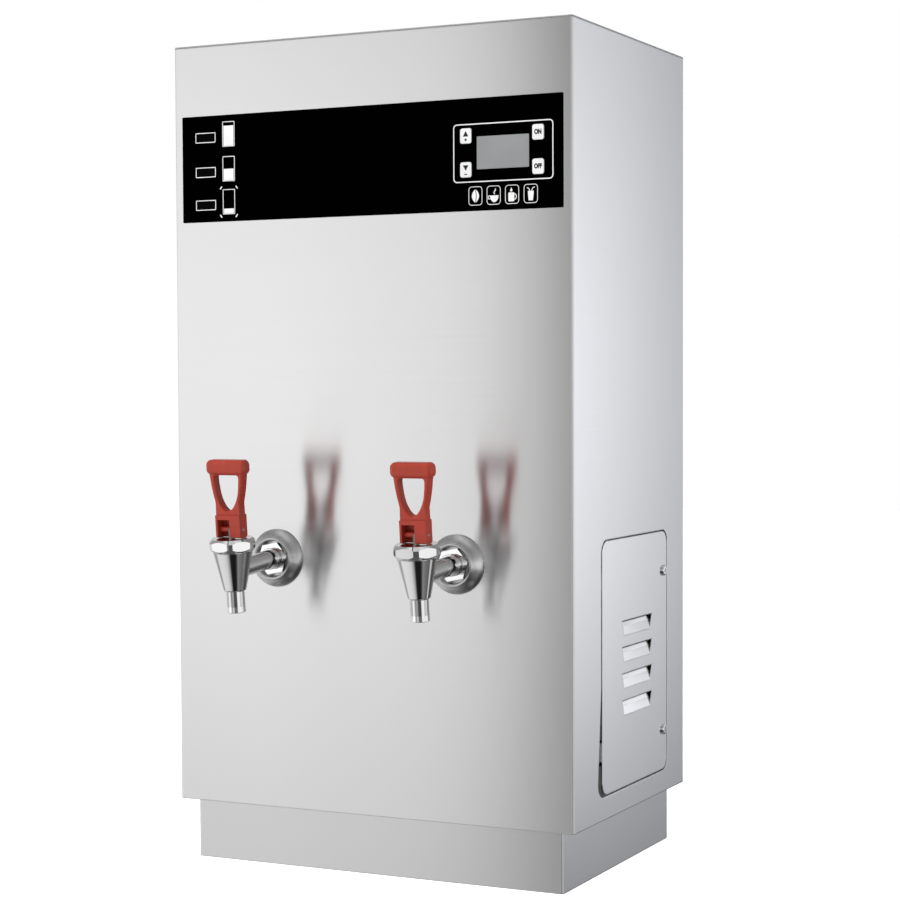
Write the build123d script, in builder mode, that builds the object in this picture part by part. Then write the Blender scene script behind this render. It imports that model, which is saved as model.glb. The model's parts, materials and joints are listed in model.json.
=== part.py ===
from build123d import *
import os
from math import cos, radians, sin

# Hot water urn: a stainless cabinet on a plinth, two lever taps on the front, a black
# control panel above them and a louvred service cover on the right-hand side.
#
# Frame: millimetres, +Z up, the front faces -Y, the right-hand side faces +X.
# The origin is the middle of the plinth's underside.

os.makedirs("parts", exist_ok=True)

# ---------------------------------------------------------------- cabinet
BODY_WIDTH = 450.0
BODY_DEPTH = 310.0
TOTAL_HEIGHT = 850.0
PLINTH_HEIGHT = 62.0
SHEET = 1.5                # stainless sheet of the cabinet
BEND = 2.5                 # outside radius of a folded corner
SEAM = 0.2                 # gap between sheets that are screwed together
RETURN_FLANGE = 15.0       # the wrap's fold behind the back edges
SKIRT = 15.0               # depth of the folded edges of the top and the floor

HALF_WIDTH = BODY_WIDTH / 2
FRONT = -BODY_DEPTH / 2
BACK = BODY_DEPTH / 2
TOP_SHEET = TOTAL_HEIGHT - SHEET
WRAP_HEIGHT = TOP_SHEET - SEAM - PLINTH_HEIGHT
INNER_WIDTH = BODY_WIDTH - 2 * (SHEET + SEAM)
INNER_DEPTH = BODY_DEPTH - 2 * (SHEET + SEAM)

PLINTH_SIDE_INSET = 16.0
PLINTH_FRONT_INSET = 10.0
PLINTH_BACK_INSET = 7.0
PLINTH_FLANGE = 14.0
PLINTH_SCREWS = [(x, y) for x in (-180.0, 180.0) for y in (-136.0, 139.0)]
PLINTH_HOLE_R = 2.7

PANEL_BACK_SHEET = 1.2     # the back panel, its screw holes, pipe holes and cooling slots
SCREW_HOLE_R = 2.3
PIPE_HOLE_R = 8.5
BACK_SCREW_INSET = 7.5
COOLING_BANKS = ((-95.0, 740.0), (95.0, 740.0))
COOLING_SLOT = (110.0, 5.0)
COOLING_ROWS = 6
COOLING_PITCH = 14.0

# ---------------------------------------------------------------- taps
TAP_X = {"left": -105.0, "right": 100.0}
TAP_HEIGHT = 320.5         # centre of the hole in the front sheet
TAP_LEAN = 5.5             # degrees that the casting leans forward
KNUCKLE = 16.0             # where the cast arm bends, measured out from the front sheet
ARM_LENGTH = 69.0          # knuckle to the body's own axis
KNUCKLE_R = 11.0
ARM_R = 9.0                # at the body; the arm swells towards its knuckle
ARM_END_R = 9.8
SHANK_R = 9.5
SHANK_BEHIND = 30.0        # length of the shank behind the front sheet
WATERWAY_R = 6.0

CONE_TOP = 20.2            # heights along the body's axis, from the middle of the arm
CONE_BOTTOM = -19.8
SPOUT_BOTTOM = -41.5
CONE_TOP_R = 19.6
CONE_BOTTOM_R = 11.6
CONE_SHOULDER = 2.0        # rounding where the cone meets the spout
SPOUT_R = 9.3
SPOUT_LIP_R = 9.7
SEAT_HEIGHT = -8.0
CHAMBER_R = 16.0           # valve chamber, seat and spout bore inside the cone
SEAT_R = 6.0
SPOUT_BORE_R = 7.4

HEX_FLATS = 43.6
HEX_HEIGHT = 13.0
HEX_CORNER_R = 23.7        # the hexagon's corners are turned off to this, and to its rim
HEX_RIM_R = 20.2
HEX_BEVEL = 3.6
HEX_TURN = -5.0            # degrees that the tightened bonnet stopped short of square
BONNET_TOP = CONE_TOP + HEX_HEIGHT
BONNET_SPIGOT = 7.0        # how far the bonnet reaches into the chamber
BONNET_BORE_R = 11.5
BONNET_ROOF = 4.0

LEVER_PULL = 30.0          # degrees from shut to fully open
STEM_LIFT = 1.35           # how far that raises the stem
FOOT_GAP = 0.3
PIN_ABOVE_FOOT = 8.2
FOOT_DEPTH = 14.0
FOOT_WIDTH = 27.8
FOOT = BONNET_TOP + FOOT_GAP
PIN_HEIGHT = FOOT + PIN_ABOVE_FOOT
PIN_R = 1.5
STEM_R = 3.5
TONGUE = 3.4               # thickness of the stem's flattened end
FORK_SLOT = 4.0
FOOT_HEIGHT = 23.0         # the thicker block that carries the fork
ARM_DEPTH = 11.0           # front to back, of the two arms that carry the bar
ARM_ROUNDING = 2.0
ARM_SPREAD = 19.6          # half the width over the arms where they meet the bar
BAR_BOTTOM = 96.5
BAR_HEIGHT = 15.0
BAR_WIDTH = 45.0
BAR_ROUNDING = 4.2
POCKET = (13.7, 19.0, 11.0)  # width, height and depth of the hollows beside the fork's slot
PIN_BOSS_R = 3.0           # round the pin, where it crosses the hollows

FLANGE_R = 29.7            # the bell-shaped escutcheon against the front sheet
BELL_MOUTH_R = 22.4
BELL_HEIGHT = 12.5
NUT_FLATS = 30.0

# ---------------------------------------------------------------- control panel
PANEL_WIDTH = 430.0
PANEL_HEIGHT = 109.5
PANEL_Z = 722.0
PANEL_THICKNESS = 1.0
PANEL_FACE = FRONT - PANEL_THICKNESS
DISPLAY = (151.8, 723.4)
DISPLAY_SIZE = (55.8, 32.0)
KEY_SIZE = (12.2, 14.7)
KEYS = {"key_up": (112.3, 740.4), "key_down": (112.3, 707.5),
        "key_on": (189.3, 740.4), "key_off": (189.3, 707.5)}
KEY_CORNER = 2.2
KEY_FLANGE = 1.2           # hidden rim that keeps a key behind the panel
KEY_TRAVEL = 0.4
LAMP_X = -186.8
LAMP_Z = (754.3, 718.6, 684.7)
LAMP_SIZE = (24.3, 10.0)
HOUSING = (150.0, 724.0)
HOUSING_SIZE = (130.0, 96.0)
HOUSING_DEPTH = 36.0
HOUSING_WALL = 2.0
BOARD_SIZE = (116.0, 64.0)
BOARD_THICKNESS = 1.6
LAMP_BOARD_SIZE = (40.0, 96.0)

# ---------------------------------------------------------------- service cover
OPENING_FRONT = -84.5      # the four edges of the opening in the right-hand side
OPENING_BACK = 103.6
OPENING_TOP = 342.4
OPENING_BOTTOM = 85.0
FINGER_RELIEF = 10.0       # how far the lower front corner flares for a fingertip
RELIEF_HEIGHT = 110.0
OPENING_CORNER = 14.0
COVER_THICKNESS = 1.2
COVER_GAP = 1.0
HINGE_GAP = 4.0            # wider, so that the cover can swing on its tabs
LEDGE_WIDTH = 14.0
LEDGE_LIP = 6.0            # of the ledge below the opening
TAB_Z = (130.0, 300.0)
TAB_HEIGHT = 20.0
SCREW_Y = 92.0
SCREW_Z = (129.2, 299.2)
LOUVRE_BOTTOMS = (160.7, 188.3, 215.4, 242.3)
LOUVRE_HEIGHT = 13.2
LOUVRE_Y = 15.5            # middle of the louvres, and their length at the lower edge
LOUVRE_LENGTH = 74.0
LOUVRE_FLARE = 5.5         # how much further each end of the slot reaches at the top
LOUVRE_DEPTH = 3.8
LOUVRE_SLIT = 1.0          # between a louvre's upper edge and the sheet behind it

# ---------------------------------------------------------------- water side
TANK_WIDTH = 340.0
TANK_DEPTH = 180.0
TANK_Y = 15.0
TANK_BOTTOM = 275.0
TANK_TOP = 640.0
TANK_CORNER = 25.0
TANK_FLANGE = 10.0
GASKET = 3.0
JACKET = 12.0
INLET = (120.0, 110.0)     # x and z of the water inlet in the back
TAIL_R = 13.2
TAIL_LENGTH = 17.0
VENT = (60.0, 105.0)
VENT_R = 6.0
VENT_TAIL = 20.0
DRAIN = (-80.0, 100.0)
GLAND = (0.0, 105.0)


def save(part, name):
    part.label = name
    export_step(part, f"parts/{name}.step")


# ================================================================ cabinet pieces
# One sheet folded round the front and both sides, with a return flange at the back.
with BuildPart() as cabinet_wrap:
    with BuildSketch(Plane.XY.offset(PLINTH_HEIGHT)):
        RectangleRounded(BODY_WIDTH, BODY_DEPTH, BEND)
        RectangleRounded(BODY_WIDTH - 2 * SHEET, BODY_DEPTH - 2 * SHEET, BEND - SHEET,
                         mode=Mode.SUBTRACT)
        with Locations((0, BACK)):
            Rectangle(BODY_WIDTH - 2 * RETURN_FLANGE, 4 * SHEET, mode=Mode.SUBTRACT)
    extrude(amount=WRAP_HEIGHT)
    with BuildSketch(Plane.YZ.offset(HALF_WIDTH)) as service_opening:
        with BuildLine():
            Polyline((OPENING_FRONT, OPENING_TOP),
                     (OPENING_BACK, OPENING_TOP),
                     (OPENING_BACK, OPENING_BOTTOM),
                     (OPENING_FRONT - FINGER_RELIEF, OPENING_BOTTOM),
                     (OPENING_FRONT, OPENING_BOTTOM + RELIEF_HEIGHT),
                     close=True)
        make_face()
        fillet(service_opening.vertices(), OPENING_CORNER)
    extrude(amount=-2 * SHEET, mode=Mode.SUBTRACT)
    with BuildSketch(Plane.XZ.offset(BODY_DEPTH / 2)):
        with Locations(*[(x, TAP_HEIGHT) for x in TAP_X.values()]):
            Circle(SHANK_R + 0.5)
        with Locations((HOUSING[0], HOUSING[1])):
            Rectangle(96, 54)
        with Locations(*[(LAMP_X, z) for z in LAMP_Z]):
            Rectangle(LAMP_SIZE[0] + 1, LAMP_SIZE[1] + 1)
    extrude(amount=-2 * SHEET, mode=Mode.SUBTRACT)
    BACK_SCREWS = [(side * (HALF_WIDTH - BACK_SCREW_INSET), z)
                   for side in (-1, 1) for z in (110, 450, 800, TOP_SHEET - SKIRT / 2)]
    with BuildSketch(Plane.XZ.offset(-BACK)):
        with Locations(*BACK_SCREWS):
            Circle(SCREW_HOLE_R)
    extrude(amount=2 * SHEET, mode=Mode.SUBTRACT)
save(cabinet_wrap.part, "cabinet_wrap")

with BuildPart() as top_cover:
    with BuildSketch(Plane.XY.offset(TOP_SHEET)):
        RectangleRounded(BODY_WIDTH, BODY_DEPTH, BEND)
    extrude(amount=SHEET)
    with BuildSketch(Plane.XY.offset(TOP_SHEET - SKIRT)):
        RectangleRounded(INNER_WIDTH, INNER_DEPTH, BEND)
        RectangleRounded(INNER_WIDTH - 2 * SHEET, INNER_DEPTH - 2 * SHEET, BEND - SHEET,
                         mode=Mode.SUBTRACT)
    extrude(amount=SKIRT)
    top_rim = top_cover.edges().filter_by(GeomType.LINE).group_by(Axis.Z)[-1]
    fillet(top_rim, 1.0)
    with BuildSketch(Plane.XZ.offset(-BACK)):
        with Locations(*[spot for spot in BACK_SCREWS if spot[1] > TOP_SHEET - SKIRT]):
            Circle(SCREW_HOLE_R)
    extrude(amount=4 * SHEET, mode=Mode.SUBTRACT)
save(top_cover.part, "top_cover")

PANEL_BACK_Y = BACK - SHEET - 0.1
with BuildPart() as back_panel:
    with BuildSketch(Plane.XZ.offset(-PANEL_BACK_Y)):
        with Locations((0, (PLINTH_HEIGHT + TOP_SHEET) / 2)):
            Rectangle(INNER_WIDTH - 4, WRAP_HEIGHT - 2 * SKIRT - 4)
        with Locations(*BACK_SCREWS):
            Circle(SCREW_HOLE_R, mode=Mode.SUBTRACT)
        with Locations(INLET):
            Circle(TAIL_R + 0.3, mode=Mode.SUBTRACT)
        with Locations(VENT, GLAND, DRAIN):
            Circle(PIPE_HOLE_R, mode=Mode.SUBTRACT)
        # Two banks of slots let the steam-warmed air out.
        with Locations(*COOLING_BANKS):
            with GridLocations(0, COOLING_PITCH, 1, COOLING_ROWS):
                SlotOverall(*COOLING_SLOT, mode=Mode.SUBTRACT)
    extrude(amount=PANEL_BACK_SHEET)
save(back_panel.part, "back_panel")

with BuildPart() as floor_pan:
    with BuildSketch(Plane.XY.offset(PLINTH_HEIGHT)):
        RectangleRounded(INNER_WIDTH, INNER_DEPTH, BEND)
        with Locations(*PLINTH_SCREWS):
            Circle(PLINTH_HOLE_R, mode=Mode.SUBTRACT)
    extrude(amount=SHEET)
    with BuildSketch(Plane.XY.offset(PLINTH_HEIGHT)):
        RectangleRounded(INNER_WIDTH, INNER_DEPTH, BEND)
        RectangleRounded(INNER_WIDTH - 2 * SHEET, INNER_DEPTH - 2 * SHEET, BEND - SHEET,
                         mode=Mode.SUBTRACT)
    extrude(amount=SKIRT)
save(floor_pan.part, "floor_pan")

# A folded tray: closed underneath, with a flange round its top that carries the floor.
PLINTH_WIDTH = BODY_WIDTH - 2 * PLINTH_SIDE_INSET
PLINTH_DEPTH = BODY_DEPTH - PLINTH_FRONT_INSET - PLINTH_BACK_INSET
PLINTH_Y = (PLINTH_FRONT_INSET - PLINTH_BACK_INSET) / 2
PLINTH_TOP = PLINTH_HEIGHT - 0.1
with BuildPart() as plinth_tray:
    with BuildSketch(Plane((0, PLINTH_Y, 0))):
        RectangleRounded(PLINTH_WIDTH, PLINTH_DEPTH, BEND)
    extrude(amount=PLINTH_TOP)
    with BuildSketch(Plane((0, PLINTH_Y, SHEET))):
        RectangleRounded(PLINTH_WIDTH - 2 * SHEET, PLINTH_DEPTH - 2 * SHEET, BEND - SHEET)
    extrude(amount=PLINTH_TOP - 2 * SHEET, mode=Mode.SUBTRACT)
    with BuildSketch(Plane((0, PLINTH_Y, PLINTH_TOP - 2 * SHEET))):
        RectangleRounded(PLINTH_WIDTH - 2 * PLINTH_FLANGE, PLINTH_DEPTH - 2 * PLINTH_FLANGE, 6)
    extrude(amount=3 * SHEET, mode=Mode.SUBTRACT)
    with BuildSketch(Plane.XY.offset(PLINTH_TOP - 2 * SHEET)):
        with Locations(*PLINTH_SCREWS):
            Circle(PLINTH_HOLE_R)
    extrude(amount=3 * SHEET, mode=Mode.SUBTRACT)
save(plinth_tray.part, "plinth_tray")


def pan_screw(plane, head_r, head_height, shank_r, length):
    """A cross-recess screw: the plane lies on the seat of its head, facing outwards."""
    with BuildPart() as screw:
        with BuildSketch(plane):
            Circle(head_r)
        extrude(amount=head_height)
        crown = screw.faces().sort_by(Axis(plane.origin, plane.z_dir))[-1]
        fillet(crown.edges(), head_height * 0.6)
        with BuildSketch(plane):
            Circle(shank_r)
        extrude(amount=-length)
        with BuildSketch(plane.offset(head_height)):
            Rectangle(head_r * 0.9, head_r * 0.22)
            Rectangle(head_r * 0.22, head_r * 0.9)
        extrude(amount=-head_height * 0.55, mode=Mode.SUBTRACT)
    return screw.part


# ================================================================ service cover
COVER_INNER_X = HALF_WIDTH - SHEET
COVER_FRONT = OPENING_FRONT + HINGE_GAP

with BuildPart() as service_ledge:
    with BuildSketch(Plane.YZ.offset(COVER_INNER_X - SEAM / 2)):
        with BuildLine():
            Polyline((OPENING_FRONT - FINGER_RELIEF - LEDGE_WIDTH, OPENING_TOP + LEDGE_WIDTH),
                     (OPENING_BACK + LEDGE_WIDTH, OPENING_TOP + LEDGE_WIDTH),
                     (OPENING_BACK + LEDGE_WIDTH, OPENING_BOTTOM - LEDGE_LIP),
                     (OPENING_FRONT - FINGER_RELIEF - LEDGE_WIDTH, OPENING_BOTTOM - LEDGE_LIP),
                     close=True)
        make_face()
        with Locations(((OPENING_FRONT + OPENING_BACK) / 2 - 8,
                        (OPENING_BOTTOM + OPENING_TOP) / 2)):
            RectangleRounded(OPENING_BACK - OPENING_FRONT - 40,
                             OPENING_TOP - OPENING_BOTTOM - 2 * LEDGE_WIDTH, 8,
                             mode=Mode.SUBTRACT)
        with Locations(*[(COVER_FRONT - 6, z) for z in TAB_Z]):
            Rectangle(46, TAB_HEIGHT + 6, mode=Mode.SUBTRACT)
        with Locations(*[(SCREW_Y, z) for z in SCREW_Z]):
            Circle(2.8, mode=Mode.SUBTRACT)
    extrude(amount=-SHEET)
save(service_ledge.part, "service_ledge")

with BuildPart() as cover_nuts:
    for z in SCREW_Z:
        with BuildSketch(Plane.YZ.offset(COVER_INNER_X - SEAM / 2 - SHEET)):
            with Locations((SCREW_Y, z)):
                RegularPolygon(4.6, 6)
                Circle(2.5, mode=Mode.SUBTRACT)
        extrude(amount=-4)
save(cover_nuts.part, "cover_nuts")

# Flush sheet with four pressed louvres, hooked behind the front edge of its opening by
# two tabs that it swings on, and held at the rear edge by two captive screws.
with BuildPart() as service_cover:
    with BuildSketch(Plane.YZ.offset(COVER_INNER_X)) as cover_outline:
        with BuildLine():
            Polyline((COVER_FRONT, OPENING_TOP - COVER_GAP),
                     (OPENING_BACK - COVER_GAP, OPENING_TOP - COVER_GAP),
                     (OPENING_BACK - COVER_GAP, OPENING_BOTTOM + COVER_GAP),
                     (COVER_FRONT, OPENING_BOTTOM + COVER_GAP),
                     close=True)
        make_face()
        fillet(cover_outline.vertices(), OPENING_CORNER - COVER_GAP)
        with Locations(*[(SCREW_Y, z) for z in SCREW_Z]):
            Circle(2.6, mode=Mode.SUBTRACT)
    extrude(amount=COVER_THICKNESS)
    cover_face = service_cover.faces().sort_by(Axis.X)[-1]
    fillet(cover_face.outer_wire().edges(), 0.8)

    blade_slope = LOUVRE_DEPTH / LOUVRE_HEIGHT
    blade_normal = (1, 0, blade_slope)
    for bottom in LOUVRE_BOTTOMS:
        with BuildSketch(Plane.YZ.offset(COVER_INNER_X - 1)):
            with BuildLine():
                top = bottom + LOUVRE_HEIGHT + LOUVRE_SLIT
                near, far = LOUVRE_Y - LOUVRE_LENGTH / 2, LOUVRE_Y + LOUVRE_LENGTH / 2
                Polyline((near, bottom), (far, bottom), (far + LOUVRE_FLARE, top),
                         (near - LOUVRE_FLARE, top), close=True)
            make_face()
        extrude(amount=COVER_THICKNESS + 2, mode=Mode.SUBTRACT)
        with BuildSketch(Plane((HALF_WIDTH - 0.3, 0, bottom), x_dir=(0, 1, 0),
                               z_dir=blade_normal)):
            with BuildLine():
                reach = LOUVRE_FLARE - 0.7
                Polyline((near, -0.9), (far, -0.9), (far + reach, LOUVRE_HEIGHT),
                         (near - reach, LOUVRE_HEIGHT), close=True)
            make_face()
        extrude(amount=-COVER_THICKNESS)
    for z in TAB_Z:
        with BuildSketch(Plane.XY.offset(z - TAB_HEIGHT / 2)):
            with BuildLine():
                Polyline((COVER_INNER_X, COVER_FRONT + 1.0),
                         (COVER_INNER_X, COVER_FRONT + 9.0),
                         (COVER_INNER_X - 1.2, COVER_FRONT + 9.0),
                         (COVER_INNER_X - 2.7, COVER_FRONT + 3.0),
                         (COVER_INNER_X - 2.7, COVER_FRONT - 16.0),
                         (COVER_INNER_X - 1.5, COVER_FRONT - 16.0),
                         (COVER_INNER_X - 1.5, COVER_FRONT + 1.0),
                         close=True)
            make_face()
        extrude(amount=TAB_HEIGHT)
save(service_cover.part, "service_cover")

with BuildPart() as cover_screws:
    for z in SCREW_Z:
        add(pan_screw(Plane((HALF_WIDTH - 0.3, SCREW_Y, z), x_dir=(0, 1, 0), z_dir=(1, 0, 0)),
                      5.7, 2.6, 2.4, 6.2))
save(cover_screws.part, "cover_screws")

with BuildPart() as panel_screws:
    for x, z in BACK_SCREWS:
        add(pan_screw(Plane((x, BACK, z), x_dir=(1, 0, 0), z_dir=(0, 1, 0)), 4.0, 2.2, 2.0, 6))
    for x, y in PLINTH_SCREWS:
        add(pan_screw(Plane((x, y, PLINTH_TOP - SHEET), x_dir=(1, 0, 0), z_dir=(0, 0, -1)),
                      4.6, 2.6, 2.4, 8))
save(panel_screws.part, "panel_screws")


# ================================================================ control panel
with BuildPart() as control_overlay:
    with BuildSketch(Plane.XZ.offset(-FRONT)):
        with Locations((0, PANEL_Z)):
            RectangleRounded(PANEL_WIDTH, PANEL_HEIGHT, 1.0)
        with Locations(DISPLAY):
            RectangleRounded(DISPLAY_SIZE[0], DISPLAY_SIZE[1], 1.0, mode=Mode.SUBTRACT)
        with Locations(*KEYS.values()):
            RectangleRounded(KEY_SIZE[0] + 0.6, KEY_SIZE[1] + 0.6, 2.5, mode=Mode.SUBTRACT)
        with Locations(*[(LAMP_X, z) for z in LAMP_Z]):
            RectangleRounded(LAMP_SIZE[0], LAMP_SIZE[1], 0.8, mode=Mode.SUBTRACT)
    extrude(amount=PANEL_THICKNESS)
save(control_overlay.part, "control_overlay")

with BuildPart() as display_window:
    with BuildSketch(Plane.XZ.offset(-FRONT)):
        with Locations(DISPLAY):
            RectangleRounded(DISPLAY_SIZE[0] - 0.2, DISPLAY_SIZE[1] - 0.2, 0.9)
    extrude(amount=PANEL_THICKNESS - 0.1)
save(display_window.part, "display_window")

with BuildPart() as display_module:
    with BuildSketch(Plane.XZ.offset(-FRONT - 0.1)):
        with Locations(DISPLAY):
            Rectangle(DISPLAY_SIZE[0] + 2, DISPLAY_SIZE[1] + 6)
    extrude(amount=-9)
save(display_module.part, "display_module")

SWITCH_TOP = FRONT + 5.7
for key_name, spot in KEYS.items():
    with BuildPart() as key:
        with BuildSketch(Plane.XZ.offset(-FRONT)):
            with Locations(spot):
                RectangleRounded(KEY_SIZE[0], KEY_SIZE[1], KEY_CORNER)
        extrude(amount=PANEL_THICKNESS + 0.6)
        fillet(key.faces().sort_by(Axis.Y)[0].edges(), 0.4)
        with BuildSketch(Plane.XZ.offset(-FRONT - 0.2)):
            with Locations(spot):
                RectangleRounded(KEY_SIZE[0] + 2 * KEY_FLANGE, KEY_SIZE[1] + 2 * KEY_FLANGE,
                                 KEY_CORNER + 0.8)
        extrude(amount=-1.0)
        with BuildSketch(Plane.XZ.offset(-FRONT)):
            with Locations(spot):
                Circle(2.5)
        extrude(amount=-(SWITCH_TOP - FRONT - KEY_TRAVEL - 0.1))
        with BuildSketch(Plane.XZ.offset(-FRONT)):
            with Locations(spot):
                RectangleRounded(KEY_SIZE[0], KEY_SIZE[1], KEY_CORNER)
        extrude(amount=-0.3)
    save(key.part, key_name)

BOARD_Y = SWITCH_TOP + 3.8
with BuildPart() as tact_switches:
    with BuildSketch(Plane.XZ.offset(-BOARD_Y)):
        with Locations(*KEYS.values()):
            Rectangle(6, 6)
    extrude(amount=2.6)
    with BuildSketch(Plane.XZ.offset(-BOARD_Y)):
        with Locations(*KEYS.values()):
            Circle(1.8)
    extrude(amount=3.8)
save(tact_switches.part, "tact_switches")

BOARD_HOLES = [(HOUSING[0] + x, HOUSING[1] + z) for x in (-54, 54) for z in (-28, 28)]
with BuildPart() as control_board:
    with BuildSketch(Plane.XZ.offset(-BOARD_Y)):
        with Locations(HOUSING):
            Rectangle(*BOARD_SIZE)
        with Locations(*BOARD_HOLES):
            Circle(1.7, mode=Mode.SUBTRACT)
    extrude(amount=-BOARD_THICKNESS)
save(control_board.part, "control_board")

with BuildPart() as control_housing:
    housing_front = FRONT + SHEET + 0.1
    with BuildSketch(Plane.XZ.offset(-housing_front)):
        with Locations(HOUSING):
            RectangleRounded(*HOUSING_SIZE, 5)
    extrude(amount=-HOUSING_DEPTH)
    with BuildSketch(Plane.XZ.offset(-housing_front)):
        with Locations(HOUSING):
            RectangleRounded(HOUSING_SIZE[0] - 2 * HOUSING_WALL,
                             HOUSING_SIZE[1] - 2 * HOUSING_WALL, 3)
    extrude(amount=HOUSING_WALL - HOUSING_DEPTH, mode=Mode.SUBTRACT)
    post_y = BOARD_Y + BOARD_THICKNESS + 0.1
    with BuildSketch(Plane.XZ.offset(-post_y)):
        with Locations(*BOARD_HOLES):
            Circle(3.5)
    extrude(amount=post_y - housing_front - HOUSING_DEPTH + HOUSING_WALL)
    with BuildSketch(Plane.XZ.offset(-(housing_front + 20))):
        with Locations((HOUSING[0], HOUSING[1] - 46)):
            Rectangle(20, 10)
    extrude(amount=-8, mode=Mode.SUBTRACT)
save(control_housing.part, "control_housing")

LAMP_BOARD_Y = FRONT + 8.0
with BuildPart() as indicator_lenses:
    with BuildSketch(Plane.XZ.offset(-LAMP_BOARD_Y + 0.1)):
        with Locations(*[(LAMP_X, z) for z in LAMP_Z]):
            RectangleRounded(LAMP_SIZE[0] - 0.2, LAMP_SIZE[1] - 0.2, 0.7)
    extrude(amount=LAMP_BOARD_Y - 0.1 - PANEL_FACE - 0.1)
save(indicator_lenses.part, "indicator_lenses")

with BuildPart() as indicator_board:
    with BuildSketch(Plane.XZ.offset(-LAMP_BOARD_Y)):
        with Locations((LAMP_X + 4, PANEL_Z)):
            Rectangle(*LAMP_BOARD_SIZE)
    extrude(amount=-BOARD_THICKNESS)
save(indicator_board.part, "indicator_board")


# ================================================================ taps
def tap_planes(side):
    """The horizontal, front-facing and side-facing planes of one tap's own axis."""
    up = Vector(0, -sin(radians(TAP_LEAN)), cos(radians(TAP_LEAN)))
    inward = Vector(0, cos(radians(TAP_LEAN)), sin(radians(TAP_LEAN)))
    knuckle = Vector(TAP_X[side], FRONT - KNUCKLE, TAP_HEIGHT)
    middle = knuckle - inward * ARM_LENGTH
    level = Plane(middle, x_dir=(1, 0, 0), z_dir=up)
    facing = Plane(middle, x_dir=(1, 0, 0), z_dir=-inward)
    section = Plane(middle, x_dir=inward, z_dir=(1, 0, 0))
    return level, facing, section


def wall_plane(side, out):
    """A plane parallel to the front sheet, `out` millimetres in front of it."""
    return Plane((TAP_X[side], FRONT - out, TAP_HEIGHT), x_dir=(1, 0, 0), z_dir=(0, -1, 0))


def make_tap_body(side):
    level, facing, section = tap_planes(side)
    body_axis = Axis(level.origin, level.z_dir)
    shoulder_top = (CONE_BOTTOM_R, CONE_BOTTOM + CONE_SHOULDER)
    shoulder_end = (CONE_BOTTOM_R - CONE_SHOULDER, CONE_BOTTOM)
    with BuildPart() as tap_body:
        with BuildSketch(section):
            with BuildLine():
                Polyline((0, CONE_TOP), (CONE_TOP_R - 0.8, CONE_TOP),
                         (CONE_TOP_R, CONE_TOP - 0.8), shoulder_top)
                ThreePointArc(shoulder_top, (CONE_BOTTOM_R - 0.3 * CONE_SHOULDER,
                                             CONE_BOTTOM + 0.3 * CONE_SHOULDER), shoulder_end)
                Polyline(shoulder_end, (SPOUT_R, CONE_BOTTOM - 0.3),
                         (SPOUT_R, SPOUT_BOTTOM + 6), (SPOUT_LIP_R, SPOUT_BOTTOM + 0.6),
                         (SPOUT_LIP_R - 0.6, SPOUT_BOTTOM), (0, SPOUT_BOTTOM), (0, CONE_TOP))
            make_face()
        revolve(axis=body_axis)
        # The arm swells a little towards its knuckle.
        with BuildSketch(facing.offset(-6)):
            Circle(ARM_R)
        with BuildSketch(facing.offset(-ARM_LENGTH)):
            Circle(ARM_END_R)
        loft()
        with BuildSketch(wall_plane(side, KNUCKLE - 3.2)):
            Circle(KNUCKLE_R)
        extrude(amount=4.6)
        fillet(tap_body.edges().filter_by(GeomType.CIRCLE).filter_by(
            lambda edge: abs(edge.radius - KNUCKLE_R) < 0.01), 0.8)
        with BuildSketch(wall_plane(side, KNUCKLE - 3.0)):
            Circle(SHANK_R)
        extrude(amount=-(KNUCKLE - 3.0 + SHANK_BEHIND))
        # Hollow: valve chamber, seat, spout bore and the waterway through the arm.
        with BuildSketch(section):
            with BuildLine():
                Polyline((0, CONE_TOP), (CHAMBER_R, CONE_TOP), (CHAMBER_R, 12.0),
                         (CHAMBER_R - 1.6, 12.0), (9.6, SEAT_HEIGHT), (SEAT_R, SEAT_HEIGHT),
                         (SEAT_R, SEAT_HEIGHT - 2.5), (SPOUT_BORE_R, SEAT_HEIGHT - 4.5),
                         (SPOUT_BORE_R, SPOUT_BOTTOM), (0, SPOUT_BOTTOM), close=True)
            make_face()
        revolve(axis=body_axis, mode=Mode.SUBTRACT)
        with BuildSketch(facing):
            Circle(WATERWAY_R)
        extrude(amount=-ARM_LENGTH, mode=Mode.SUBTRACT)
        with BuildSketch(wall_plane(side, KNUCKLE + 0.5)):
            Circle(WATERWAY_R)
        extrude(amount=-(KNUCKLE + SHANK_BEHIND + 1.0), mode=Mode.SUBTRACT)
    return tap_body.part


def make_bonnet(side):
    """Hexagonal cap, turned to a circle above and below so that each flat is an oval."""
    level, facing, section = tap_planes(side)
    body_axis = Axis(level.origin, level.z_dir)
    low, high = CONE_TOP + 0.1, BONNET_TOP
    with BuildPart() as bonnet:
        with BuildSketch(level.offset(low)):
            RegularPolygon(HEX_FLATS / 2, 6, major_radius=False, rotation=HEX_TURN)
        extrude(amount=high - low)
        with BuildSketch(section):
            with BuildLine():
                Polyline((0, low), (HEX_RIM_R, low), (HEX_CORNER_R, low + HEX_BEVEL),
                         (HEX_CORNER_R, high - HEX_BEVEL), (HEX_RIM_R, high), (0, high), close=True)
            make_face()
        revolve(axis=body_axis, mode=Mode.INTERSECT)
        with BuildSketch(level.offset(low)):
            Circle(CHAMBER_R - 0.1)
        extrude(amount=-BONNET_SPIGOT)
        with BuildSketch(level.offset(low - BONNET_SPIGOT)):
            Circle(BONNET_BORE_R)
        extrude(amount=high - low + BONNET_SPIGOT - BONNET_ROOF, mode=Mode.SUBTRACT)
        with BuildSketch(level.offset(high)):
            Circle(STEM_R + 0.08)
        extrude(amount=-5.0, mode=Mode.SUBTRACT)
    return bonnet.part


COLLAR_HEIGHT = 4.0
COLLAR_R = 8.0
COLLAR_THICKNESS = 1.8
CUP_TOP = 2.0


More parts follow.
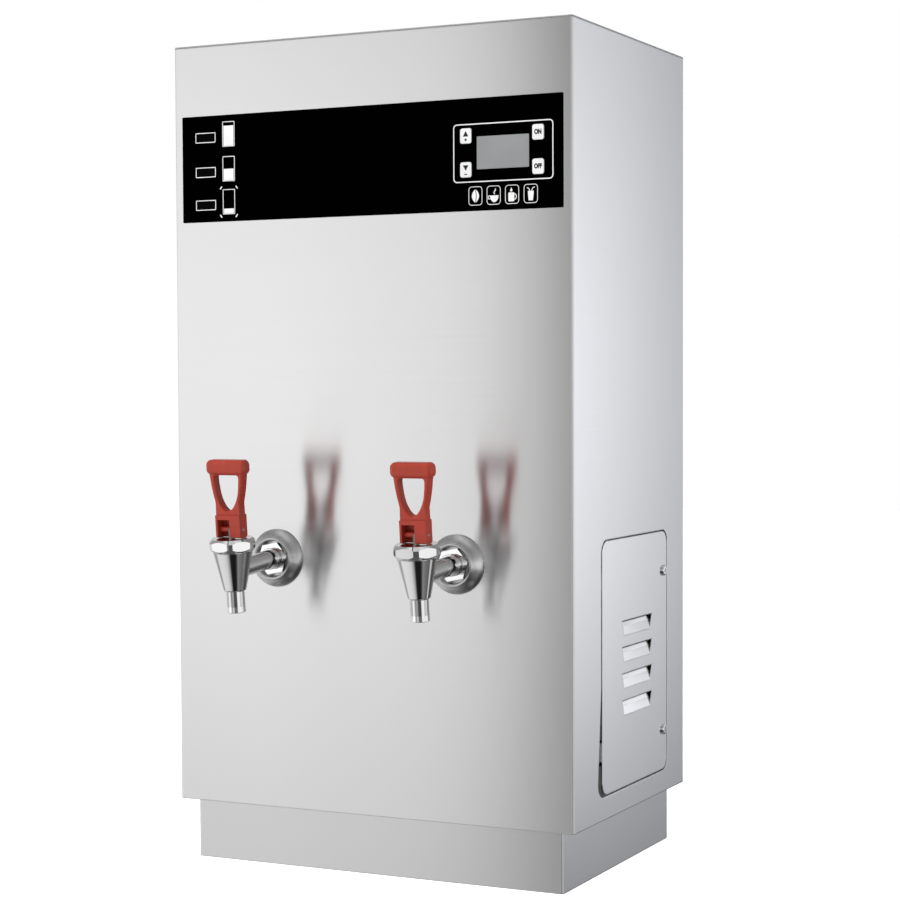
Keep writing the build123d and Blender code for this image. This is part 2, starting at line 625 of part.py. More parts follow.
def make_stem(side):
    """Valve stem: a flattened end for the lever's fork, and a collar for the spring."""
    level, facing, section = tap_planes(side)
    tongue_bottom = BONNET_TOP - STEM_LIFT - 0.5
    with BuildPart() as stem:
        with BuildSketch(level.offset(SEAT_HEIGHT + 4.0)):
            Circle(STEM_R)
        extrude(amount=tongue_bottom - SEAT_HEIGHT - 4.0)
        with BuildSketch(level.offset(COLLAR_HEIGHT)):
            Circle(COLLAR_R)
        extrude(amount=COLLAR_THICKNESS)
        with BuildSketch(section.offset(-TONGUE / 2)):
            with Locations((0, (tongue_bottom - 1 + PIN_HEIGHT) / 2)):
                Rectangle(6.0, PIN_HEIGHT - tongue_bottom + 1)
            with Locations((0, PIN_HEIGHT)):
                Circle(3.0)
                Circle(PIN_R + 0.02, mode=Mode.SUBTRACT)
        extrude(amount=TONGUE)
    return stem.part


def make_seat_cup(side):
    """Silicone cup that shuts the seat."""
    level, facing, section = tap_planes(side)
    body_axis = Axis(level.origin, level.z_dir)
    floor = SEAT_HEIGHT + 0.1
    with BuildPart() as cup:
        with BuildSketch(section):
            with BuildLine():
                Polyline((0, floor), (7.6, floor), (8.3, floor + 1.2), (6.4, floor + 6.0),
                         (6.4, CUP_TOP), (STEM_R + 0.05, CUP_TOP),
                         (STEM_R + 0.05, SEAT_HEIGHT + 3.95), (0, SEAT_HEIGHT + 3.95),
                         close=True)
            make_face()
        revolve(axis=body_axis)
    return cup.part


def make_spring(side):
    """Return spring between the stem's collar and the roof of the bonnet."""
    level, facing, section = tap_planes(side)
    turns, coil_r, wire_r = 4, 7.0, 0.9
    low = COLLAR_HEIGHT + COLLAR_THICKNESS + wire_r + 0.1
    high = BONNET_TOP - BONNET_ROOF - wire_r - 0.1
    with BuildPart() as spring:
        with BuildLine(level.offset(low)):
            coil = Helix(pitch=(high - low) / turns, height=high - low, radius=coil_r)
        with BuildSketch(Plane(coil @ 0, z_dir=coil % 0)):
            Circle(wire_r)
        sweep()
    return spring.part


def make_lever_pin(side):
    level, facing, section = tap_planes(side)
    with BuildPart() as pin:
        with BuildSketch(section.offset(-FOOT_WIDTH / 2 - 0.3)):
            with Locations((0, PIN_HEIGHT)):
                Circle(PIN_R)
        extrude(amount=FOOT_WIDTH + 0.6)
        chamfer(pin.edges(), 0.25)
    return pin.part


def make_lever(side):
    """Red stirrup handle on a forked foot, whose rocker lifts the stem as it tips."""
    level, facing, section = tap_planes(side)
    half_depth = FOOT_DEPTH / 2
    half_foot = FOOT_WIDTH / 2
    rise = STEM_LIFT / radians(LEVER_PULL)

    def rocker(degrees):
        """Point of the rocker that bears on the bonnet when the lever has tipped this far."""
        tip = radians(degrees)
        reach = PIN_ABOVE_FOOT + rise * tip
        return (-reach * sin(tip) - rise * cos(tip),
                PIN_HEIGHT - reach * cos(tip) + rise * sin(tip))

    waist = FOOT + 30.0

    def arm_edge(hand):
        """Outer edge of one arm, from the waist up to the bar."""
        return Spline((hand * (half_foot - 0.6), waist), (hand * (half_foot + 1.6), waist + 11.0),
                      (hand * (half_foot + 4.1), waist + 24.0), (hand * ARM_SPREAD, BAR_BOTTOM + 2.0),
                      tangents=((hand * 0.1, 1), (hand * 0.2, 1)))

    ends = Axis(facing.origin, facing.z_dir)
    with BuildPart() as bar:
        with BuildSketch(facing.offset(-half_depth)):
            with Locations((0, BAR_BOTTOM + BAR_HEIGHT / 2)):
                RectangleRounded(BAR_WIDTH, BAR_HEIGHT, 5.5)
        extrude(amount=FOOT_DEPTH)
        fillet(bar.faces().filter_by(ends).edges(), BAR_ROUNDING)

    with BuildPart() as lever:
        # Front outline: waist and the arms that widen up to the bar.
        with BuildSketch(facing.offset(-ARM_DEPTH / 2)):
            with BuildLine():
                right = arm_edge(1)
                Line(right @ 1, (-ARM_SPREAD, BAR_BOTTOM + 2.0))
                left = arm_edge(-1)
                Polyline(left @ 0, (-half_foot, FOOT), (half_foot, FOOT), right @ 0)
            make_face()
        extrude(amount=ARM_DEPTH)
        fillet(lever.faces().filter_by(ends).edges().filter_by(GeomType.BSPLINE), ARM_ROUNDING)
        # Finger window: an upside-down drop.
        with BuildSketch(facing.offset(-ARM_DEPTH / 2)) as window:
            with BuildLine():
                top, bottom = BAR_BOTTOM - 0.2, FOOT + 26.8
                rim = Line((-13.6, top), (13.6, top))
                Spline(rim @ 1, (12.6, top - 13.5), (10.4, top - 23.5), (0, bottom),
                       (-10.4, top - 23.5), (-12.6, top - 13.5), rim @ 0,
                       tangents=((0, -1), (0, 1)))
            make_face()
            fillet(window.vertices().group_by(Axis.Y)[-1], 3.0)
        extrude(amount=ARM_DEPTH, mode=Mode.SUBTRACT)
        fillet([edge for face in lever.faces().filter_by(ends)
                for rim in face.inner_wires() for edge in rim.edges()], ARM_ROUNDING)
        add(bar.part)
        # Foot block, with hollows in front on one side and behind on the other.
        with BuildSketch(facing.offset(-half_depth)):
            with Locations((0, FOOT + FOOT_HEIGHT / 2)):
                RectangleRounded(FOOT_WIDTH, FOOT_HEIGHT, 0.8)
        extrude(amount=FOOT_DEPTH)
        pocket_width, pocket_height, pocket_depth = POCKET
        for hand in (-1, 1):
            with BuildSketch(facing.offset(-hand * half_depth)):
                with Locations((hand * (pocket_width - FORK_SLOT) / 2, FOOT + 9.0)):
                    Rectangle(pocket_width, pocket_height)
            extrude(amount=hand * pocket_depth, mode=Mode.SUBTRACT)
        with BuildSketch(section.offset(-half_foot)):
            with Locations((0, PIN_HEIGHT)):
                Circle(PIN_BOSS_R)
        extrude(amount=FOOT_WIDTH)
        # Side profile: rocker foot below, full depth above.
        with BuildSketch(section.offset(-BAR_WIDTH)):
            with BuildLine():
                toe = ThreePointArc(rocker(0), rocker(LEVER_PULL / 2), rocker(LEVER_PULL))
                Polyline(toe @ 1, (-half_depth, FOOT + 3.0),
                         (-half_depth, BAR_BOTTOM + BAR_HEIGHT + 1.0),
                         (half_depth, BAR_BOTTOM + BAR_HEIGHT + 1.0),
                         (half_depth, FOOT + 2.0), (half_depth - 2.0, FOOT), toe @ 0)
            make_face()
        extrude(amount=2 * BAR_WIDTH, mode=Mode.INTERSECT)
        # Slot for the stem's tongue.
        with BuildSketch(facing.offset(-half_depth - 1)):
            with Locations((0, FOOT + 6.0)):
                Rectangle(FORK_SLOT, 14.0)
        extrude(amount=FOOT_DEPTH + 2, mode=Mode.SUBTRACT)
        with BuildSketch(section.offset(-BAR_WIDTH)):
            with Locations((0, PIN_HEIGHT)):
                Circle(PIN_R + 0.05)
        extrude(amount=2 * BAR_WIDTH, mode=Mode.SUBTRACT)
    return lever.part


def make_escutcheon(side):
    """Bell-shaped cover ring round the shank, with the nut sunk in its mouth."""
    wall = wall_plane(side, 0)
    profile_plane = Plane(wall.origin, x_dir=(0, 0, 1), z_dir=(1, 0, 0))
    with BuildPart() as escutcheon:
        with BuildSketch(profile_plane):
            with BuildLine():
                Polyline((SHANK_R + 0.3, 0.05), (FLANGE_R, 0.05), (FLANGE_R, 1.6))
                ThreePointArc((FLANGE_R, 1.6), (25.1, 6.0), (BELL_MOUTH_R, BELL_HEIGHT - 1.4))
                ThreePointArc((BELL_MOUTH_R, BELL_HEIGHT - 1.4), (20.6, BELL_HEIGHT),
                              (18.6, BELL_HEIGHT - 1.4))
                Polyline((18.6, BELL_HEIGHT - 1.4), (18.0, 2.6), (SHANK_R + 0.3, 2.6),
                         (SHANK_R + 0.3, 0.05))
            make_face()
        revolve(axis=Axis(wall.origin, wall.z_dir))
    return escutcheon.part


def make_feed_pipe(side):
    """Silicone tube from the shank's inner end to the tank's outlet stub."""
    with BuildPart() as pipe:
        with BuildSketch(wall_plane(side, -16.0)):
            Circle(12.6)
            Circle(SHANK_R + 0.1, mode=Mode.SUBTRACT)
        extrude(amount=-(TANK_Y - TANK_DEPTH / 2 - 4.0 - (FRONT + 16.0)))
    return pipe.part


for side in TAP_X:
    save(make_tap_body(side), f"tap_body_{side}")
    save(make_bonnet(side), f"tap_bonnet_{side}")
    save(make_stem(side), f"tap_stem_{side}")
    save(make_seat_cup(side), f"tap_seat_cup_{side}")
    save(make_spring(side), f"tap_spring_{side}")
    save(make_lever_pin(side), f"lever_pin_{side}")
    save(make_lever(side), f"lever_{side}")
    save(make_escutcheon(side), f"escutcheon_{side}")
    save(make_feed_pipe(side), f"feed_pipe_{side}")

# Each shank has one nut sunk in the escutcheon and one behind the front sheet.
NUT_THICKNESS = 8.0
with BuildPart() as shank_nuts:
    for side in TAP_X:
        for seat in (2.7 + NUT_THICKNESS, -SHEET - 3.2):
            with BuildSketch(wall_plane(side, seat)):
                RegularPolygon(NUT_FLATS / 2, 6, major_radius=False, rotation=12)
                Circle(SHANK_R + 0.1, mode=Mode.SUBTRACT)
            extrude(amount=-NUT_THICKNESS)
save(shank_nuts.part, "shank_nuts")

with BuildPart() as shank_washers:
    for side in TAP_X:
        with BuildSketch(wall_plane(side, -SHEET - 0.05)):
            Circle(17)
            Circle(SHANK_R + 0.1, mode=Mode.SUBTRACT)
        extrude(amount=-3.0)
save(shank_washers.part, "shank_washers")


# ================================================================ tank and plumbing
TANK_FRONT = TANK_Y - TANK_DEPTH / 2
TANK_SIDE = TANK_WIDTH / 2
HEATER = (TANK_Y, 305.0)        # y and z of the heater's boss in the right-hand wall
HAIRPIN_R = 9.0                 # each loop's bend, its tube and the x where it turns back
HAIRPIN_TUBE_R = 4.2
HAIRPIN_END = -100.0
PROBE = (70.0, 325.0)
FILL = (131.0, 92.0)            # x and y of the fill pipe
DRAIN_Y = 30.0
LEVEL_RODS = ((-110.0, 330.0), (-85.0, 480.0), (-60.0, 605.0))
BOLT_HOLE_R = 2.2
HEATER_R = 16.0
PROBE_R = 3.0
WATER_PIPE_R = 7.0              # drain and fill pipes
ROD_INSULATOR_R = 5.0
LID_BOLTS = [(x, TANK_Y + y) for x, y in ((-175.2, -55), (-175.2, 55), (175.2, -55), (175.2, 55),
                                          (-60, -95.2), (60, -95.2), (-60, 95.2), (60, 95.2))]

with BuildPart() as water_tank:
    with BuildSketch(Plane((0, TANK_Y, TANK_BOTTOM))):
        RectangleRounded(TANK_WIDTH, TANK_DEPTH, TANK_CORNER)
    extrude(amount=TANK_TOP - TANK_BOTTOM)
    with BuildSketch(Plane((0, TANK_Y, TANK_TOP - SHEET))):
        RectangleRounded(TANK_WIDTH + 2 * TANK_FLANGE, TANK_DEPTH + 2 * TANK_FLANGE,
                         TANK_CORNER + TANK_FLANGE)
        with Locations(*[(x, y - TANK_Y) for x, y in LID_BOLTS]):
            Circle(BOLT_HOLE_R, mode=Mode.SUBTRACT)
    extrude(amount=SHEET)
    with BuildSketch(Plane.XZ.offset(-TANK_FRONT - 2)):
        with Locations(*[(x, TAP_HEIGHT) for x in TAP_X.values()]):
            Circle(SHANK_R)
    extrude(amount=24)
    with BuildSketch(Plane((0, TANK_Y, TANK_BOTTOM + SHEET))):
        RectangleRounded(TANK_WIDTH - 2 * SHEET, TANK_DEPTH - 2 * SHEET, TANK_CORNER - SHEET)
    extrude(amount=TANK_TOP - TANK_BOTTOM, mode=Mode.SUBTRACT)
    with BuildSketch(Plane.XZ.offset(-TANK_FRONT - 3)):
        with Locations(*[(x, TAP_HEIGHT) for x in TAP_X.values()]):
            Circle(WATERWAY_R + 1)
    extrude(amount=26, mode=Mode.SUBTRACT)
    with BuildSketch(Plane.YZ.offset(TANK_SIDE + 1)):
        with Locations(HEATER):
            Circle(HEATER_R + 0.1)
        with Locations(PROBE):
            Circle(PROBE_R + 0.1)
    extrude(amount=-4, mode=Mode.SUBTRACT)
    with BuildSketch(Plane.XY.offset(TANK_BOTTOM - 1)):
        with Locations(FILL, (DRAIN[0], DRAIN_Y)):
            Circle(WATER_PIPE_R + 0.1)
    extrude(amount=4, mode=Mode.SUBTRACT)
save(water_tank.part, "water_tank")

with BuildPart() as tank_gasket:
    with BuildSketch(Plane((0, TANK_Y, TANK_TOP))):
        RectangleRounded(TANK_WIDTH + 2 * TANK_FLANGE, TANK_DEPTH + 2 * TANK_FLANGE,
                         TANK_CORNER + TANK_FLANGE)
        RectangleRounded(TANK_WIDTH - 2 * SHEET, TANK_DEPTH - 2 * SHEET, TANK_CORNER - SHEET,
                         mode=Mode.SUBTRACT)
        with Locations(*[(x, y - TANK_Y) for x, y in LID_BOLTS]):
            Circle(BOLT_HOLE_R, mode=Mode.SUBTRACT)
    extrude(amount=GASKET)
save(tank_gasket.part, "tank_gasket")

LID_BOTTOM = TANK_TOP + GASKET
with BuildPart() as tank_lid:
    with BuildSketch(Plane.XY.offset(LID_BOTTOM)):
        with Locations((0, TANK_Y)):
            RectangleRounded(TANK_WIDTH + 2 * TANK_FLANGE, TANK_DEPTH + 2 * TANK_FLANGE,
                             TANK_CORNER + TANK_FLANGE)
        with Locations(*LID_BOLTS):
            Circle(BOLT_HOLE_R, mode=Mode.SUBTRACT)
        with Locations((VENT[0], 60)):
            Circle(VENT_R + 0.1, mode=Mode.SUBTRACT)
        with Locations(*[(x, TANK_Y) for x, low in LEVEL_RODS]):
            Circle(ROD_INSULATOR_R + 0.1, mode=Mode.SUBTRACT)
    extrude(amount=SHEET)
save(tank_lid.part, "tank_lid")

with BuildPart() as lid_bolts:
    for x, y in LID_BOLTS:
        with BuildSketch(Plane((x, y, LID_BOTTOM + SHEET))):
            RegularPolygon(4.0, 6)
        extrude(amount=3.0)
        with BuildSketch(Plane((x, y, TANK_TOP - SHEET - 9))):
            Circle(2.0)
        extrude(amount=GASKET + 2 * SHEET + 9)
        with BuildSketch(Plane((x, y, TANK_TOP - SHEET))):
            RegularPolygon(4.0, 6)
        extrude(amount=-3.5)
save(lid_bolts.part, "lid_bolts")

with BuildPart() as level_probes:
    for x, low in LEVEL_RODS:
        with BuildSketch(Plane((x, TANK_Y, low))):
            Circle(2.5)
        extrude(amount=LID_BOTTOM + 22 - low)
        with BuildSketch(Plane((x, TANK_Y, LID_BOTTOM - 8))):
            Circle(ROD_INSULATOR_R)
        extrude(amount=20)
save(level_probes.part, "level_probes")

with BuildPart() as insulation_jacket:
    jacket_plane = Plane((0, TANK_Y, TANK_BOTTOM + 8))
    with BuildSketch(jacket_plane):
        RectangleRounded(TANK_WIDTH + 2 * JACKET, TANK_DEPTH + 2 * JACKET, TANK_CORNER + JACKET)
        RectangleRounded(TANK_WIDTH + 0.4, TANK_DEPTH + 0.4, TANK_CORNER + 0.2,
                         mode=Mode.SUBTRACT)
    extrude(amount=TANK_TOP - TANK_BOTTOM - 24)
    with BuildSketch(Plane.XZ.offset(-TANK_FRONT)):
        with Locations(*[(x, TAP_HEIGHT) for x in TAP_X.values()]):
            Circle(13.0)
    extrude(amount=JACKET + 1, mode=Mode.SUBTRACT)
    with BuildSketch(Plane.YZ.offset(TANK_SIDE)):
        with Locations(HEATER):
            Circle(24.0)
        with Locations(PROBE):
            Circle(9.0)
    extrude(amount=JACKET + 1, mode=Mode.SUBTRACT)
save(insulation_jacket.part, "insulation_jacket")

# Four angle legs under a ring that the tank stands on.
LEG_X, LEG_Y, LEG = 138.0, 62.0, 22.0
STAND_FLOOR = PLINTH_HEIGHT + SHEET + 0.05
with BuildPart() as tank_stand:
    with BuildSketch(Plane((0, TANK_Y, TANK_BOTTOM - 0.1))):
        RectangleRounded(2 * LEG_X, 2 * LEG_Y, 4)
        RectangleRounded(2 * (LEG_X - LEG), 2 * (LEG_Y - LEG), 4, mode=Mode.SUBTRACT)
    extrude(amount=-2)
    for x_side in (-1, 1):
        for y_side in (-1, 1):
            corner = (x_side * LEG_X, TANK_Y + y_side * LEG_Y)
            with BuildSketch(Plane.XY.offset(STAND_FLOOR)):
                with BuildLine():
                    Polyline(corner,
                             (corner[0] - x_side * LEG, corner[1]),
                             (corner[0] - x_side * LEG, corner[1] - y_side * 2),
                             (corner[0] - x_side * 2, corner[1] - y_side * 2),
                             (corner[0] - x_side * 2, corner[1] - y_side * LEG),
                             (corner[0], corner[1] - y_side * LEG),
                             close=True)
                make_face()
            extrude(amount=TANK_BOTTOM - 0.1 - STAND_FLOOR)
save(tank_stand.part, "tank_stand")

# Immersion heater: a flanged boss with two hairpin loops above the tank's floor.
with BuildPart() as heating_element:
    with BuildSketch(Plane.YZ.offset(TANK_SIDE + 0.1)):
        with Locations(HEATER):
            Circle(22.0)
    extrude(amount=5)
    with BuildSketch(Plane.YZ.offset(TANK_SIDE + 5)):
        with Locations(HEATER):
            RegularPolygon(19.0, 6)
    extrude(amount=10)
    with BuildSketch(Plane.YZ.offset(TANK_SIDE + 0.1)):
        with Locations(HEATER):
            Circle(HEATER_R)
    extrude(amount=-8)
    for height in (-7.0, 7.0):
        loop_plane = Plane((0, 0, HEATER[1] + height))
        with BuildLine(loop_plane) as loop:
            near, far = HEATER[0] - HAIRPIN_R, HEATER[0] + HAIRPIN_R
            Polyline((TANK_SIDE - 6, near), (HAIRPIN_END, near), (HAIRPIN_END, far),
                     (TANK_SIDE - 6, far))
            fillet(loop.vertices().group_by(Axis.X)[0], HAIRPIN_R - 0.1)
        with BuildSketch(Plane((TANK_SIDE - 6, near, HEATER[1] + height),
                               x_dir=(0, 1, 0), z_dir=(-1, 0, 0))):
            Circle(HAIRPIN_TUBE_R)
        sweep(path=loop.wires()[0])
save(heating_element.part, "heating_element")

with BuildPart() as temperature_probe:
    with BuildSketch(Plane.YZ.offset(TANK_SIDE + 0.1)):
        with Locations(PROBE):
            RegularPolygon(8.0, 6)
    extrude(amount=8)
    with BuildSketch(Plane.YZ.offset(TANK_SIDE + 1)):
        with Locations(PROBE):
            Circle(PROBE_R)
    extrude(amount=-90)
save(temperature_probe.part, "temperature_probe")


def bent_tube(points, bend_r, outer_r, bore_r):
    """A tube along straight runs joined by bends of one radius."""
    start_direction = Vector(*points[1]) - Vector(*points[0])
    with BuildPart() as tube:
        with BuildLine() as route:
            FilletPolyline(*points, radius=bend_r)
        with BuildSketch(Plane(points[0], z_dir=start_direction)):
            Circle(outer_r)
            Circle(bore_r, mode=Mode.SUBTRACT)
        sweep(path=route.wires()[0])
    return tube.part


VALVE = (120.0, 102.0, INLET[1])
VALVE_BODY = 40.0
VALVE_HEIGHT = 30.0
COIL_R = 13.0
COIL_HEIGHT = 32.0
VALVE_SOCKET_R = 8.0
VALVE_OUTLET_R = 6.0
INLET_COLLAR_R = 19.0
INLET_BORE_R = 5.5
COLLAR_Y = PANEL_BACK_Y - PANEL_BACK_SHEET - 0.1
# Threaded tail behind the back panel, a neck through it, and a collar inside.
with BuildPart() as inlet_fitting:
    with BuildSketch(Plane.XZ.offset(-(BACK + TAIL_LENGTH))):
        with Locations(INLET):
            Circle(TAIL_R)
    extrude(amount=TAIL_LENGTH)
    with BuildSketch(Plane.XZ.offset(-BACK)):
        with Locations(INLET):
            Circle(TAIL_R - 0.8)
    extrude(amount=BACK - COLLAR_Y)
    with BuildSketch(Plane.XZ.offset(-COLLAR_Y)):
        with Locations(INLET):
            RegularPolygon(INLET_COLLAR_R, 6)
    extrude(amount=6)
    with BuildSketch(Plane.XZ.offset(-(PANEL_BACK_Y - 6))):
        with Locations(INLET):
            Circle(VALVE_SOCKET_R)
    extrude(amount=PANEL_BACK_Y - 6 - (VALVE[1] + 14))
    with BuildSketch(Plane.XZ.offset(-(BACK + 18.0))):
        with Locations(INLET):
            Circle(INLET_BORE_R)
    extrude(amount=BACK + 20.0 - VALVE[1] - 12, mode=Mode.SUBTRACT)
save(inlet_fitting.part, "inlet_fitting")

with BuildPart() as inlet_valve:
    with BuildSketch(Plane((VALVE[0], VALVE[1], VALVE[2] - VALVE_HEIGHT / 2))):
        RectangleRounded(VALVE_BODY, VALVE_BODY, 4)
    extrude(amount=VALVE_HEIGHT)
    with BuildSketch(Plane((VALVE[0] - 10, VALVE[1] - 8, VALVE[2] + VALVE_HEIGHT / 2))):
        Circle(COIL_R)
    extrude(amount=COIL_HEIGHT)
    with BuildSketch(Plane((FILL[0], FILL[1], VALVE[2] + VALVE_HEIGHT / 2 - 1))):
        Circle(VALVE_OUTLET_R)
    extrude(amount=16)
    with BuildSketch(Plane((FILL[0], FILL[1], VALVE[2]))):
        Circle(4.5)
    extrude(amount=31, mode=Mode.SUBTRACT)
    with BuildSketch(Plane.XZ.offset(-(VALVE[1] + 21))):
        with Locations(INLET):
            Circle(VALVE_SOCKET_R + 0.1)
    extrude(amount=8, mode=Mode.SUBTRACT)
save(inlet_valve.part, "inlet_valve")

with BuildPart() as fill_pipe:
    with BuildSketch(Plane((FILL[0], FILL[1], VALVE[2] + 16))):
        Circle(WATER_PIPE_R)
        Circle(VALVE_OUTLET_R + 0.05, mode=Mode.SUBTRACT)
    extrude(amount=TANK_BOTTOM + 4 - VALVE[2] - 16)
save(fill_pipe.part, "fill_pipe")

# Up from the lid, over and down inside the back, and out through the panel past a bead.
with BuildPart() as vent_pipe:
    add(bent_tube([(VENT[0], 60, LID_BOTTOM - 4), (VENT[0], 60, 700), (VENT[0], 132, 700),
                   (VENT[0], 132, VENT[1]), (VENT[0], BACK + VENT_TAIL, VENT[1])],
                  16, VENT_R, VENT_R - 1))
    with BuildSketch(Plane.XZ.offset(-BACK)):
        with Locations(VENT):
            Circle(VENT_R + 1.5)
            Circle(VENT_R - 0.5, mode=Mode.SUBTRACT)
    extrude(amount=5.0)
save(vent_pipe.part, "vent_pipe")
save(bent_tube([(DRAIN[0], DRAIN_Y, TANK_BOTTOM + 4), (DRAIN[0], DRAIN_Y, DRAIN[1]),
                (DRAIN[0], BACK + 16, DRAIN[1])], 24, WATER_PIPE_R, WATER_PIPE_R - 1.5), "drain_pipe")

CAP_R = 12.0
CAP_LENGTH = 18.0
CAP_GRIPS = 12
with BuildPart() as drain_cap:
    with BuildSketch(Plane.XZ.offset(-(BACK + 1.0))):
        with Locations(DRAIN):
            Circle(CAP_R)
    extrude(amount=-CAP_LENGTH)
    with BuildSketch(Plane.XZ.offset(-(BACK + 1.0))):
        with Locations(DRAIN):
            Circle(WATER_PIPE_R + 0.1)
    extrude(amount=2.5 - CAP_LENGTH, mode=Mode.SUBTRACT)
    with BuildSketch(Plane.XZ.offset(-(BACK + 1.0))):
        with Locations(DRAIN):
            with PolarLocations(CAP_R + 0.4, CAP_GRIPS):
                Circle(1.4)
    extrude(amount=-CAP_LENGTH, mode=Mode.SUBTRACT)
save(drain_cap.part, "drain_cap")


# ================================================================ electrical pieces
GLAND_R = 10.0
GLAND_HEX_R = 12.5
GLAND_THREAD_R = 8.4
CABLE_R = 5.0
with BuildPart() as cable_gland:
    with BuildSketch(Plane.XZ.offset(-(BACK + 14.0))):
        with Locations(GLAND):
            Circle(GLAND_R)
    extrude(amount=14.0 + SHEET + 0.05)
    with BuildSketch(Plane.XZ.offset(-(BACK + 2.0))):
        with Locations(GLAND):
            RegularPolygon(GLAND_HEX_R, 6)
    extrude(amount=3.4)
    with BuildSketch(Plane.XZ.offset(-(BACK + 1.0))):
        with Locations(GLAND):
            Circle(GLAND_THREAD_R)
    extrude(amount=12)
    with BuildSketch(Plane.XZ.offset(-(PANEL_BACK_Y - 1.3))):
        with Locations(GLAND):
            RegularPolygon(GLAND_HEX_R, 6)
    extrude(amount=5)
    with BuildSketch(Plane.XZ.offset(-(BACK + 15.0))):
        with Locations(GLAND):
            Circle(CABLE_R)
    extrude(amount=40, mode=Mode.SUBTRACT)
save(cable_gland.part, "cable_gland")

# Five terminals in a row, in pockets of one block that stands on the cabinet's floor.
TERMINALS = 5
TERMINAL_PITCH = 12.0
BLOCK_HEIGHT = 22.0
with BuildPart() as terminal_block:
    with BuildSketch(Plane((30, 60, STAND_FLOOR))):
        Rectangle(TERMINALS * TERMINAL_PITCH, 26)
    extrude(amount=BLOCK_HEIGHT)
    with BuildSketch(Plane((30, 60, STAND_FLOOR + BLOCK_HEIGHT))):
        with GridLocations(TERMINAL_PITCH, 0, TERMINALS, 1):
            Rectangle(8, 18)
    extrude(amount=-8, mode=Mode.SUBTRACT)
save(terminal_block.part, "terminal_block")

CONTACTOR_WIDTH = 54.0
CONTACTOR_HEIGHT = 60.0
with BuildPart() as contactor:
    with BuildSketch(Plane((30, -10, STAND_FLOOR))):
        Rectangle(CONTACTOR_WIDTH, 46)
    extrude(amount=CONTACTOR_HEIGHT)
    with BuildSketch(Plane((30, -10, STAND_FLOOR + CONTACTOR_HEIGHT))):
        Rectangle(CONTACTOR_WIDTH, 28)
    extrude(amount=18)
    with BuildSketch(Plane((30, -10, STAND_FLOOR + CONTACTOR_HEIGHT))):
        with GridLocations(CONTACTOR_WIDTH / 3, 36, 3, 2):
            Circle(4)
    extrude(amount=-10, mode=Mode.SUBTRACT)
save(contactor.part, "contactor")
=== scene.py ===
import json
from math import cos, pi, radians, sin

import bpy
from mathutils import Matrix, Vector


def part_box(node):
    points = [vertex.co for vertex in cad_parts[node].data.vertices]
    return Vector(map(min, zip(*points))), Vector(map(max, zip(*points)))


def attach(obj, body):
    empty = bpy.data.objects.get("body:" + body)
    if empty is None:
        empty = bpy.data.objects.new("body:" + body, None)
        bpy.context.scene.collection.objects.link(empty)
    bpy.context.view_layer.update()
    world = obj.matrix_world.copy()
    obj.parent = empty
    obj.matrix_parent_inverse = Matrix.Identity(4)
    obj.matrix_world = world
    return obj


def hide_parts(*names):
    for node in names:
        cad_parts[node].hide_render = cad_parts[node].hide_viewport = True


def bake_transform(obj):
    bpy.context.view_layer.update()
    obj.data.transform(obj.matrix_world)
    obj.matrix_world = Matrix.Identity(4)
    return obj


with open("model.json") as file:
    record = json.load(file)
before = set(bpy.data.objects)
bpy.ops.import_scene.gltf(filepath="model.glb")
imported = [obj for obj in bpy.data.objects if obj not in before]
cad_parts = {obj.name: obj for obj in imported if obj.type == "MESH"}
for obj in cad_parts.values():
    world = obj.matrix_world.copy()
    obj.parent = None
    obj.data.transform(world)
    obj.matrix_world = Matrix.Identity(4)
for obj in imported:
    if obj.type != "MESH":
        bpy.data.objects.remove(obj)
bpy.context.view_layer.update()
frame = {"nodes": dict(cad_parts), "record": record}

MM = 0.001
MATERIALS = {}               # every Surface made, by name


# ---------------------------------------------------------------- node helpers
class Tree:
    """A node tree being built, with short-cuts to the nodes that repeat."""

    def __init__(self, owner):
        owner.use_nodes = True
        self.nodes, self.links = owner.node_tree.nodes, owner.node_tree.links

    def ramp(self, factor, *stops):
        """Colours or greys against a factor: (position, colour) pairs."""
        node = self.nodes.new("ShaderNodeValToRGB")
        while len(node.color_ramp.elements) < len(stops):
            node.color_ramp.elements.new(0.5)
        for element, (position, colour) in zip(node.color_ramp.elements, stops):
            if isinstance(colour, (int, float)):
                colour = (colour, colour, colour)
            element.position = position
            element.color = (*colour, 1)
        self.links.new(factor, node.inputs["Fac"])
        return node.outputs["Color"]

    def mix(self, factor, first, second, mode="MIX"):
        """Blends two colours; each argument is a socket or a constant."""
        node = self.nodes.new("ShaderNodeMix")
        node.data_type = "RGBA"
        node.blend_type = mode
        for socket, value in ((node.inputs["Factor"], factor), (node.inputs["A"], first),
                              (node.inputs["B"], second)):
            if isinstance(value, bpy.types.NodeSocket):
                self.links.new(value, socket)
            else:
                socket.default_value = value
        return node.outputs["Result"]


